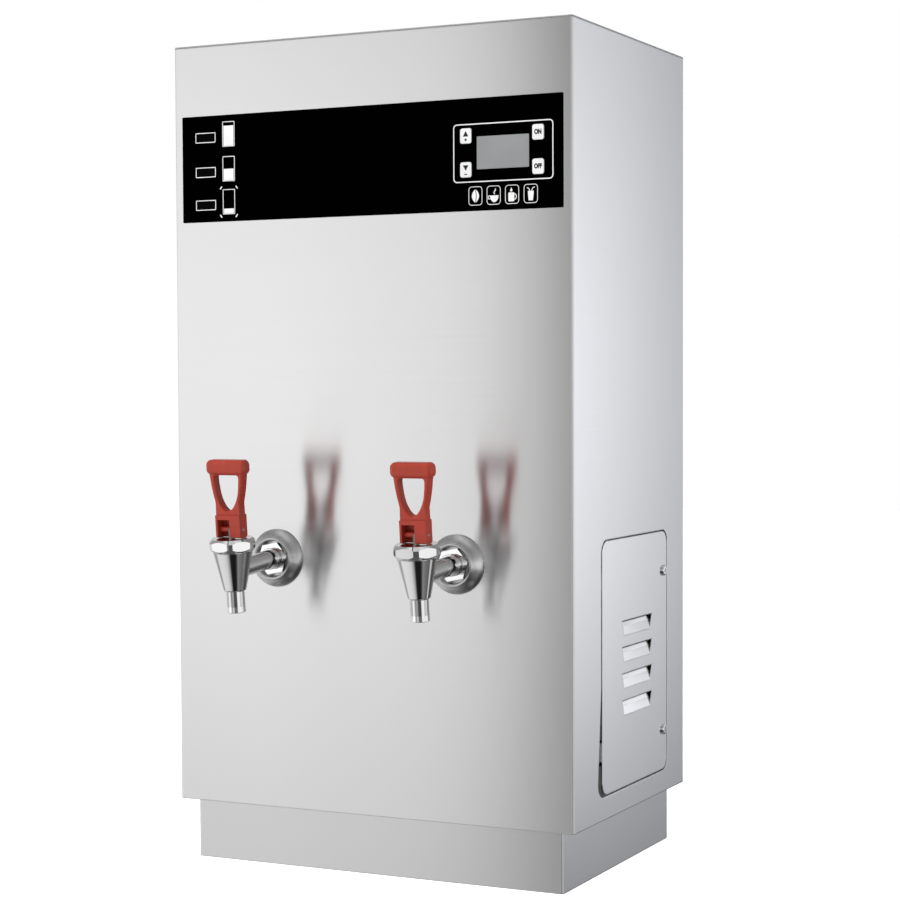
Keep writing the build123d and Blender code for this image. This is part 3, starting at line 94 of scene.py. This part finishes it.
class Surface(Tree):
    """A material being built: its node tree and its Principled shader."""

    def __init__(self, name):
        MATERIALS[name] = bpy.data.materials.new(name)
        super().__init__(MATERIALS[name])
        self.shader = self.nodes["Principled BSDF"]
        self.place = self.nodes.new("ShaderNodeTexCoord").outputs["Object"]

    def set(self, **values):
        """Constants on the shader's own sockets; the names use _ for a space."""
        for name, value in values.items():
            self.shader.inputs[name.replace("_", " ")].default_value = value

    def noise(self, scale, detail=3.0, roughness=0.5, stretch=(1, 1, 1)):
        """Noise in the object's own metres; stretch scales each axis, so grain can run along one."""
        mapping = self.nodes.new("ShaderNodeMapping")
        mapping.inputs["Scale"].default_value = stretch
        self.links.new(self.place, mapping.inputs["Vector"])
        texture = self.nodes.new("ShaderNodeTexNoise")
        texture.inputs["Scale"].default_value = scale
        texture.inputs["Detail"].default_value = detail
        texture.inputs["Roughness"].default_value = roughness
        self.links.new(mapping.outputs["Vector"], texture.inputs["Vector"])
        return texture.outputs["Fac"]

    def bump(self, height, distance, strength, edge=0.0):
        """Relief in metres of height; edge is the radius that sharp edges are shaded with."""
        node = self.nodes.new("ShaderNodeBump")
        if edge:
            rounded = self.nodes.new("ShaderNodeBevel")
            rounded.inputs["Radius"].default_value = edge
            self.links.new(rounded.outputs["Normal"], node.inputs["Normal"])
        node.inputs["Distance"].default_value = distance
        node.inputs["Strength"].default_value = strength
        self.links.new(height, node.inputs["Height"])
        self.links.new(node.outputs["Normal"], self.shader.inputs["Normal"])

    def colour(self, socket):
        self.links.new(socket, self.shader.inputs["Base Color"])

    def roughness(self, socket):
        self.links.new(socket, self.shader.inputs["Roughness"])


# ---------------------------------------------------------------- materials
GRAIN_ALONG, GRAIN_ACROSS = 5.0, 1900.0     # strokes of the brushing per metre
FOLD_SHADE = 1.5 * MM                       # radius that the folds of the sheet are shaded with


def brushed_steel(name, tone, turned_about="Z", rough=(0.19, 0.22)):
    """Stainless sheet brushed round one axis, so that its reflections smear along that axis."""
    surface = Surface(name)
    stretch = [GRAIN_ACROSS if axis == turned_about else GRAIN_ALONG for axis in "XYZ"]
    grain = surface.noise(1.0, detail=2.0, roughness=0.6, stretch=stretch)
    broad = surface.noise(3.0, stretch=(1.0, 1.0, 0.6))
    fine = surface.ramp(grain, (0.3, tone * 0.975), (0.7, tone))
    cloud = surface.ramp(broad, (0.35, 0.975), (0.65, 1.0))
    surface.colour(surface.mix(1.0, fine, cloud, "MULTIPLY"))
    surface.roughness(surface.ramp(grain, (0.3, rough[0]), (0.7, rough[1])))
    surface.bump(grain, distance=0.004 * MM, strength=0.15, edge=FOLD_SHADE)
    surface.set(Metallic=1.0, Anisotropic=0.95, Anisotropic_Rotation=0.25)
    tangent = surface.nodes.new("ShaderNodeTangent")
    tangent.direction_type = "RADIAL"
    tangent.axis = turned_about
    surface.links.new(tangent.outputs["Tangent"], surface.shader.inputs["Tangent"])


def chrome(name, tone, rough, tint=(1, 1, 1)):
    """Plated or plain bright metal with faint smudges."""
    surface = Surface(name)
    smudge = surface.noise(45.0, detail=4.0, roughness=0.6)
    dull, clean = ([tone * share * channel for channel in tint] for share in (0.96, 1.0))
    surface.colour(surface.ramp(smudge, (0.3, dull), (0.7, clean)))
    surface.roughness(surface.ramp(smudge, (0.35, rough), (0.75, rough + 0.05)))
    surface.bump(surface.noise(220.0, detail=2.0), distance=0.01 * MM, strength=0.2)
    surface.set(Metallic=1.0)


def plastic(name, colour, rough, grain=900.0, depth=0.02 * MM, specular=0.5):
    """Moulded plastic: a faint spark-eroded grain and slight flow marks in the colour."""
    surface = Surface(name)
    flow = surface.noise(25.0)
    darker = [channel * 0.88 for channel in colour]
    surface.colour(surface.ramp(flow, (0.3, darker), (0.7, colour)))
    surface.roughness(surface.ramp(surface.noise(60.0), (0.3, rough), (0.7, rough + 0.08)))
    surface.bump(surface.noise(grain, detail=2.0), depth, strength=0.5)
    surface.set(Specular_IOR_Level=specular)


brushed_steel("brushed_stainless", tone=0.80)
brushed_steel("cover_steel", tone=0.88)
brushed_steel("brushed_top", tone=0.80, turned_about="Y")
brushed_steel("plain_stainless", tone=0.62, rough=(0.34, 0.44))
# Painted shade: the plinth's steel is a darker copy of the cabinet's, for the shade under the cabinet's
# overhang.
brushed_steel("plinth_steel_painted_shade", tone=0.74)
# Painted shade: the ledge behind the service cover's gap gets a near-black steel tone, so the gap shows
# as the shadow inside it.
brushed_steel("ledge_painted_shade", tone=0.14, rough=(0.5, 0.6))
chrome("screw_steel", tone=0.85, rough=0.12)
chrome("brass", tone=0.78, rough=0.25, tint=(1, 0.78, 0.40))
chrome("chrome_plate", tone=0.88, rough=0.035)
chrome("escutcheon_steel", tone=0.68, rough=0.26)
chrome("spring_steel", tone=0.6, rough=0.2)
# Painted shade: the tap stems are plain steel toned down to a dark grey, for the shade inside the
# levers' slots that they sit in.
chrome("stem_steel_painted_shade", tone=0.28, rough=0.35)
plastic("black_panel", (0.0003, 0.0003, 0.0003), rough=0.30, grain=400.0, depth=0.005 * MM, specular=0.0)
plastic("display_grey", (0.285, 0.293, 0.298), rough=0.30, grain=300.0, depth=0.004 * MM, specular=0.2)
plastic("lamp_lens", (0.0008, 0.0008, 0.001), rough=0.22, grain=300.0, depth=0.004 * MM, specular=0.02)
plastic("key_white", (0.86, 0.86, 0.86), rough=0.35)
plastic("black_plastic", (0.02, 0.02, 0.021), rough=0.5)
plastic("board_green", (0.02, 0.16, 0.06), rough=0.4)
plastic("cream_plastic", (0.6, 0.55, 0.42), rough=0.5)
plastic("silicone", (0.62, 0.62, 0.6), rough=0.55)
plastic("insulation", (0.32, 0.32, 0.30), rough=0.9, grain=260.0, depth=0.6 * MM)
plastic("lever_red", (0.40, 0.038, 0.018), rough=0.25)
plastic("white_ink", (0.88, 0.88, 0.88), rough=0.6)
plastic("black_ink", (0.006, 0.006, 0.006), rough=0.5)

# Nodes that look different from the others of their material slot. The ledge, the plinth and the tap
# stems take darker copies of their steel as painted shade: in the service cover's gap, under the
# cabinet's overhang and inside the levers' slots.
OWN_FINISH = {"top_cover": "brushed_top", "service_ledge": "ledge_painted_shade",
              "plinth_tray": "plinth_steel_painted_shade", "service_cover": "cover_steel",
              "tap_stem_left": "stem_steel_painted_shade", "tap_stem_right": "stem_steel_painted_shade"}
for entry in frame["record"]["subparts"]:
    finish = OWN_FINISH.get(entry["node"], entry["material_slot"])
    for slot in frame["nodes"][entry["node"]].material_slots:
        slot.material = MATERIALS[finish]


# ---------------------------------------------------------------- shapes to print
# A shape is a list of closed loops of (x, z) in millimetres, one inside another for a hole.
INK = 0.04 * MM


def settle(name, curve, face, material, body):
    """Turns a curve drawn in x and z into a mesh that lies on the plane y = face."""
    drawn = bpy.data.objects.new(name + "_curve", curve)
    bpy.context.collection.objects.link(drawn)
    upright = Matrix.Rotation(pi / 2, 4, "X")
    drawn.matrix_world = Matrix.Translation((0, face - INK / 2, 0)) @ upright
    bpy.context.view_layer.update()
    evaluated = drawn.evaluated_get(bpy.context.evaluated_depsgraph_get())
    mesh = bpy.data.meshes.new_from_object(evaluated)
    mesh.transform(drawn.matrix_world)
    mesh.name = name
    piece = bpy.data.objects.new(name, mesh)
    bpy.context.collection.objects.link(piece)
    bpy.data.objects.remove(drawn)
    mesh.materials.clear()
    mesh.materials.append(material)
    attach(piece, body)
    return piece


def print_shape(name, loops, face, material, body):
    """A flat printed mark that rides on a body."""
    curve = bpy.data.curves.new(name, "CURVE")
    curve.dimensions = "2D"
    curve.fill_mode = "BOTH"
    curve.extrude = INK / 2
    for loop in loops:
        spline = curve.splines.new("POLY")
        spline.points.add(len(loop) - 1)
        for point, (x, z) in zip(spline.points, loop):
            point.co = (x * MM, z * MM, 0, 1)
        spline.use_cyclic_u = True
    settle(name, curve, face, material, body)


def rectangle(x, z, width, height):
    """A plain rectangle about its middle."""
    half_width, half_height = width / 2, height / 2
    return [(x - half_width, z - half_height), (x + half_width, z - half_height),
            (x + half_width, z + half_height), (x - half_width, z + half_height)]


def round_rectangle(x, z, width, height, radius, steps=6):
    """A rectangle about its middle, with rounded corners."""
    loop = []
    for corner, (side, level) in enumerate(((1, 1), (-1, 1), (-1, -1), (1, -1))):
        corner_x = x + side * (width / 2 - radius)
        corner_z = z + level * (height / 2 - radius)
        for step in range(steps + 1):
            angle = (corner + step / steps) * pi / 2
            loop.append((corner_x + radius * cos(angle), corner_z + radius * sin(angle)))
    return loop


def outline(x, z, width, height, radius, line):
    """Outer and inner loop of a rounded frame."""
    return [round_rectangle(x, z, width, height, radius),
            round_rectangle(x, z, width - 2 * line, height - 2 * line, max(radius - line, 0.05))]


def arc(x, z, across, up, start, end, steps):
    """Points along an ellipse, from one angle in degrees to another."""
    angles = [radians(start + (end - start) * step / (steps - 1)) for step in range(steps)]
    return [(x + across * cos(angle), z + up * sin(angle)) for angle in angles]


def ribbon(points, width):
    """A closed loop round a polyline, for a drawn line."""
    left, right = [], []
    for number, (x, z) in enumerate(points):
        ahead = points[min(number + 1, len(points) - 1)]
        behind = points[max(number - 1, 0)]
        along = Vector((ahead[0] - behind[0], ahead[1] - behind[1])).normalized()
        left.append((x - along.y * width / 2, z + along.x * width / 2))
        right.append((x + along.y * width / 2, z - along.x * width / 2))
    return left + right[::-1]


# ---------------------------------------------------------------- marks on the panel
PANEL_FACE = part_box("control_overlay")[0][1]


def mark(name, loops):
    print_shape(name, loops, PANEL_FACE, MATERIALS["white_ink"], "cabinet")


# Frame round the display and its keys.
mark("print_display_frame",
     outline(x=151.9, z=723.5, width=106.6, height=57.0, radius=4.0, line=1.05))

# Three lamp windows, each beside a glass that is full, half full or nearly empty.
LAMP_X, GLASS_X = -186.8, -159.0
GLASS_ABOVE_LAMP = 2.7
WATER_FOOT = 12.6            # how far below a glass's middle its water starts
LAMPS = ((754.3, 765.6), (718.6, 721.3), (684.7, 680.4))     # heights of lamp and water
for number, (lamp_z, water_top) in enumerate(LAMPS):
    glass_z = lamp_z + GLASS_ABOVE_LAMP
    water_foot = glass_z - WATER_FOOT
    mark(f"print_lamp_frame_{number}",
         outline(LAMP_X, lamp_z, width=24.2, height=10.4, radius=0.6, line=0.75))
    mark(f"print_glass_{number}",
         outline(GLASS_X, glass_z, width=14.6, height=25.8, radius=0.8, line=0.7))
    mark(f"print_water_{number}",
         [round_rectangle(GLASS_X, (water_top + water_foot) / 2, width=12.0,
                          height=water_top - water_foot, radius=0.3)])

# Four ticks round the nearly empty glass, each from one offset to the other.
TICK_ENDS = ((8.4, 16.0), (10.4, 13.2))
low_glass_z = LAMPS[-1][0] + GLASS_ABOVE_LAMP
for number, (side, level) in enumerate(((-1, 1), (1, 1), (-1, -1), (1, -1))):
    ends = [(GLASS_X + side * across, low_glass_z + level * up) for across, up in TICK_ENDS]
    mark(f"print_alert_{number}", [ribbon(ends, width=1.2)])

# Four drink tiles under the display.
TILES_X = (122.4, 142.0, 161.6, 181.4)
TILE_Z = 681.7
for number, x in enumerate(TILES_X):
    mark(f"print_tile_{number}",
         outline(x, TILE_Z, width=14.8, height=18.4, radius=3.4, line=0.6))


def leaf(x, z):
    """The two halves of a leaf, either side of its rib."""
    foot, length, belly, steps = z - 6.4, 12.6, 3.4, 12

    def half(side):
        shares = [step / steps for step in range(steps + 1)]
        edge = [(x + side * (0.5 + belly * sin(pi * share) ** 0.8), foot + length * share)
                for share in shares]
        rib = [(x + side * 0.35 + 0.9 * sin(pi * share), foot + length * share)
               for share in shares]
        return edge + rib[::-1]
    return [half(1)], [half(-1)]


def cup(x, z):
    """A round cup, its handle on the left, with a curl of steam."""
    bowl = arc(x + 0.6, z - 0.2, across=4.6, up=6.6, start=180, end=360, steps=16)
    loop = arc(x - 4.3, z - 2.0, across=1.7, up=1.6, start=70, end=290, steps=12)
    curl = [(x + 1.2 - 0.9 * sin(rise), z + 0.9 + rise) for rise in (0.9 * n for n in range(7))]
    return [bowl], [ribbon(loop, width=0.8)], [ribbon(curl, width=0.9)]


def mug(x, z):
    """A tall mug with a drop above it."""
    body = round_rectangle(x - 0.8, z - 2.4, width=6.4, height=8.6, radius=0.8)
    loop = arc(x + 2.6, z - 2.2, across=2.0, up=2.6, start=-90, end=90, steps=12)
    hours = 12
    drop = []
    for hour in range(hours):
        angle = hour * 2 * pi / hours
        point = 1.6 if hour == hours // 4 else 0
        drop.append((x - 0.8 + 1.3 * cos(angle), z + 4.0 + 1.3 * sin(angle) + point))
    return [body], [ribbon(loop, width=0.9)], [drop]


def tumbler(x, z):
    """A tapered glass with two straws."""
    glass = [(x - 3.2, z + 2.6), (x + 3.2, z + 2.6), (x + 2.3, z - 6.6), (x - 2.3, z - 6.6)]
    left_straw = [(x - 0.9, z + 2.8), (x - 2.2, z + 5.0), (x - 4.0, z + 5.8)]
    right_straw = [(x + 0.8, z + 2.8), (x + 2.0, z + 5.2), (x + 4.2, z + 6.2)]
    return [glass], [ribbon(left_straw, width=0.8)], [ribbon(right_straw, width=0.8)]


for number, (x, drawing) in enumerate(zip(TILES_X, (leaf, cup, mug, tumbler))):
    for piece, loops in enumerate(drawing(x, TILE_Z)):
        mark(f"print_drink_{number}_{piece}", loops)


# ---------------------------------------------------------------- marks on the keys
def key_marks(key, *loops):
    """Black shapes on a key's face, which move with it."""
    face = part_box(key)[0][1]
    for number, loop in enumerate(loops):
        print_shape(f"{key}_mark_{number}", [loop], face, MATERIALS["black_ink"], key)


def key_word(key, word, size):
    """A bold, narrow word in the middle of a key's face."""
    low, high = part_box(key)
    curve = bpy.data.curves.new(key + "_word", "FONT")
    curve.body = word
    curve.size = size
    curve.align_x = "CENTER"
    curve.align_y = "CENTER"
    curve.extrude = INK / 2
    curve.offset = 0.4 * MM
    narrow = Matrix.Diagonal((0.76, 1, 1, 1))
    middle = Vector(((low[0] + high[0]) / 2, 0, (low[2] + high[2]) / 2))
    piece = settle(key + "_word", curve, low[1], MATERIALS["black_ink"], key)
    piece.data.transform(Matrix.Translation(middle) @ narrow)


ARROW_X = 112.3              # middle of the two arrow keys
UP_Z, DOWN_Z = 740.4, 707.5
ARROW_HALF = 3.0             # half the width of an arrow
PLUS_Z = UP_Z - 3.8
key_marks("key_up",
          [(ARROW_X - ARROW_HALF, UP_Z - 0.6), (ARROW_X, UP_Z + 4.8),
           (ARROW_X + ARROW_HALF, UP_Z - 0.6)],
          rectangle(ARROW_X, PLUS_Z, width=1.0, height=2.8),
          rectangle(ARROW_X, PLUS_Z, width=2.8, height=1.0))
key_marks("key_down",
          [(ARROW_X - ARROW_HALF, DOWN_Z + 4.4), (ARROW_X + ARROW_HALF, DOWN_Z + 4.4),
           (ARROW_X, DOWN_Z - 1.0)],
          rectangle(ARROW_X, DOWN_Z - 4.5, width=3.0, height=1.0))
key_word("key_on", "ON", 6.2 * MM)
key_word("key_off", "OFF", 6.0 * MM)


# ---------------------------------------------------------------- return springs
# Each return spring is drawn as a copy of its solid's mesh, in spring steel, in place of the solid. In
# the real tap it shortens as
#  its stem rises: its top stays under the bonnet's roof, and its foot follows the stem's collar.
for side in ("left", "right"):
    solid = f"tap_spring_{side}"
    coil = bpy.data.objects.new(f"return_spring_{side}", frame["nodes"][solid].data.copy())
    bpy.context.collection.objects.link(coil)
    coil.data.materials.clear()
    coil.data.materials.append(MATERIALS["spring_steel"])
    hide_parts(solid)
    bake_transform(coil)


# ---------------------------------------------------------------- floor
# The floor glows just enough for the camera to show it white outside the object's shadow, and
# metal sees the studio through it, as it would a glossy white sweep.
FLOOR_REACH = 6.0
FLOOR_GLOW = 0.70
floor_mesh = bpy.data.meshes.new("floor")
floor_mesh.from_pydata([(-FLOOR_REACH, -FLOOR_REACH, 0), (FLOOR_REACH, -FLOOR_REACH, 0),
                        (FLOOR_REACH, FLOOR_REACH, 0), (-FLOOR_REACH, FLOOR_REACH, 0)],
                       [], [(0, 1, 2, 3)])
floor = bpy.data.objects.new("floor", floor_mesh)
bpy.context.collection.objects.link(floor)
paint = Surface("floor_paint")
paint.colour(paint.ramp(paint.noise(2.0), (0.3, 0.90), (0.7, 0.92)))
paint.set(Roughness=0.9, Specular_IOR_Level=0.1, Emission_Color=(1, 1, 1, 1))
ray = paint.nodes.new("ShaderNodeLightPath")
glow = paint.nodes.new("ShaderNodeMath")
glow.operation = "MULTIPLY"
glow.inputs[1].default_value = FLOOR_GLOW
paint.links.new(ray.outputs["Is Camera Ray"], glow.inputs[0])
paint.links.new(glow.outputs[0], paint.shader.inputs["Emission Strength"])
see_through = paint.nodes.new("ShaderNodeBsdfTransparent")
either = paint.nodes.new("ShaderNodeMixShader")
paint.links.new(ray.outputs["Is Glossy Ray"], either.inputs[0])
paint.links.new(paint.shader.outputs[0], either.inputs[1])
paint.links.new(see_through.outputs[0], either.inputs[2])
paint.links.new(either.outputs[0], paint.nodes["Material Output"].inputs["Surface"])
floor_mesh.materials.append(MATERIALS["floor_paint"])


# ---------------------------------------------------------------- studio
# What the metal reflects. Round the object, each stop is (degrees from the front towards the
# right-hand side, brightness), and for height it is (sine of the elevation, brightness).
# Pale all round, and darker where the photograph's steel darkens towards the right of each face:
STUDIO = ((-90, 0.95), (-60, 1.1), (-43, 1.36), (-33, 1.38), (-31, 1.43), (-28, 1.32),
          (-24.6, 1.29), (-23, 0.5), (-21.8, 0.0), (-18, 0.0), (-14, 0.95), (8, 0.9), (14, 0.85),
          (46, 0.85), (53, 1.1), (82, 1.05), (90, 1.0), (125, 1.0), (134, 1.1), (150, 1.34),
          (156, 1.52), (158, 1.19), (159.5, 0.81), (161, 0.52), (166, 0.42), (178, 0.95),
          (240, 1.0), (269, 0.95))
# What the downward-facing curves of the taps see of it, and the heights between which they do:
STUDIO_LOW = ((-150, 0.6), (-100, 1.25), (-73, 1.35), (-32, 1.25), (-16, 1.1), (-4, 0.8),
              (6, 0.4), (16, 0.1), (50, 0.06), (58, 0.1), (66, 0.4), (74, 0.36), (104, 0.22),
              (112, 0.22), (118, 1.1), (141, 1.1), (147, 0.05), (176, 0.05), (188, 0.6),
              (240, 0.8))
LOW_BAND = ((-0.88, 0), (-0.8, 1), (-0.36, 1), (-0.24, 0))
# A dark flag beside the camera, below its height, gives the chrome its dark cores:
FLAG = ((8, 1.0), (14, 0.25), (46, 0.25), (53, 1.0))
FLAG_BAND = ((-0.08, 1.0), (0.02, 0.0))
# Two low strip lights, which the hexagons and spouts of the taps show:
STRIPS = ((-64, 0.0), (-59, 0.43), (-40, 0.43), (-37.5, 0.0), (50, 0.0), (54, 0.42), (84, 0.42),
          (88, 0.0))
STRIP_BAND = ((-0.36, 0.0), (-0.28, 1.0), (-0.15, 1.0), (-0.09, 0.0))
# How it all fades above and below the horizon:
FADE = ((-1.0, 0.08), (-0.95, 0.12), (-0.88, 0.38), (-0.8, 0.1), (-0.68, 0.52), (-0.6, 0.6),
        (-0.45, 0.6), (-0.3, 0.40), (-0.2, 0.50), (-0.12, 0.76), (-0.06, 0.92), (0.0, 1.0),
        (0.04, 1.0), (0.12, 0.81), (0.25, 0.5), (0.5, 0.36), (0.82, 0.34), (0.92, 0.6),
        (1.0, 0.8))
# What takes its place on the right-hand side, where the floor is darker and the light cooler, and
# how far round that side reaches:
SIDE_FADE = ((-1.0, 0.6), (-0.88, 0.6), (-0.8, 0.08), (-0.3, 0.08), (-0.22, 0.18),
             (-0.15, 0.58), (-0.08, 0.92), (-0.02, 1.0), (0.04, 1.0), (0.12, 0.76), (0.25, 0.5),
             (0.5, 0.36), (1.0, 0.3))
SIDE_REACH = ((126, 0), (140.4, 1), (165.6, 1), (183.6, 0))
COOL, WHITE = (0.965, 0.985, 1.03), (1, 1, 1)

world = bpy.data.worlds.new("studio")
bpy.context.scene.world = world
sky = Tree(world)
direction = sky.nodes.new("ShaderNodeTexCoord").outputs["Generated"]
compass = sky.nodes.new("ShaderNodeTexGradient")
compass.gradient_type = "RADIAL"
sky.links.new(direction, compass.inputs["Vector"])
split = sky.nodes.new("ShaderNodeSeparateXYZ")
sky.links.new(direction, split.inputs["Vector"])
height = sky.nodes.new("ShaderNodeMapRange")     # from a sine to a position between 0 and 1
height.inputs["From Min"].default_value = -1
sky.links.new(split.outputs["Z"], height.inputs["Value"])


def by_angle(stops):
    """Brightness that goes with the direction round the object."""
    return sky.ramp(compass.outputs["Fac"], *[(angle / 360 + 0.25, grey) for angle, grey in stops])


def by_height(stops, tint=WHITE):
    """Brightness that goes with the elevation."""
    return sky.ramp(height.outputs["Result"],
                    *[(sine / 2 + 0.5, [grey * channel for channel in tint])
                      for sine, grey in stops])


all_round = sky.mix(by_height(LOW_BAND), by_angle(STUDIO), by_angle(STUDIO_LOW))
fade = sky.mix(by_angle(SIDE_REACH), by_height(FADE), by_height(SIDE_FADE, COOL))
studio = sky.mix(1.0, all_round, fade, "MULTIPLY")
flagged = sky.mix(1.0, studio, by_angle(FLAG), "MULTIPLY")
studio = sky.mix(by_height(FLAG_BAND), studio, flagged)
strips = sky.mix(1.0, by_angle(STRIPS), by_height(STRIP_BAND), "MULTIPLY")
studio = sky.mix(1.0, studio, strips, "ADD")
camera_ray = sky.nodes.new("ShaderNodeLightPath").outputs["Is Camera Ray"]
sky.links.new(sky.mix(camera_ray, studio, (*WHITE, 1)), sky.nodes["Background"].inputs["Color"])


# ---------------------------------------------------------------- lamps
def area_light(name, place, aim, width, power):
    """A square lamp that lights paint and plastic, and that metal doesn't show."""
    data = bpy.data.lights.new(name, "AREA")
    data.shape = "SQUARE"
    data.size = width
    data.energy = power
    light = bpy.data.objects.new(name, data)
    light.location = place
    light.rotation_euler = (Vector(aim) - Vector(place)).to_track_quat("-Z", "Y").to_euler()
    bpy.context.collection.objects.link(light)
    light.visible_glossy = False


area_light("key_softbox", place=(-1.8, -2.2, 2.9), aim=(0, 0, 0.45), width=2.4, power=112)
area_light("side_softbox", place=(2.6, 0.6, 2.2), aim=(0.2, 0, 0.45), width=2.0, power=30)


# ---------------------------------------------------------------- camera
# Solved from the corners of the cabinet and the plinth in the photograph.
camera_data = bpy.data.cameras.new("photo_camera")
camera_data.sensor_width = 36.0
camera_data.lens = 86.69
camera_data.shift_y = 0.0278
camera = bpy.data.objects.new("photo_camera", camera_data)
camera.location = (1.0295, -2.0769, 0.5006)
camera.rotation_euler = (radians(90 - 2.461), radians(0.246), radians(25.968))
bpy.context.collection.objects.link(camera)
bpy.context.scene.camera = camera
bpy.context.scene.view_settings.view_transform = "Standard"
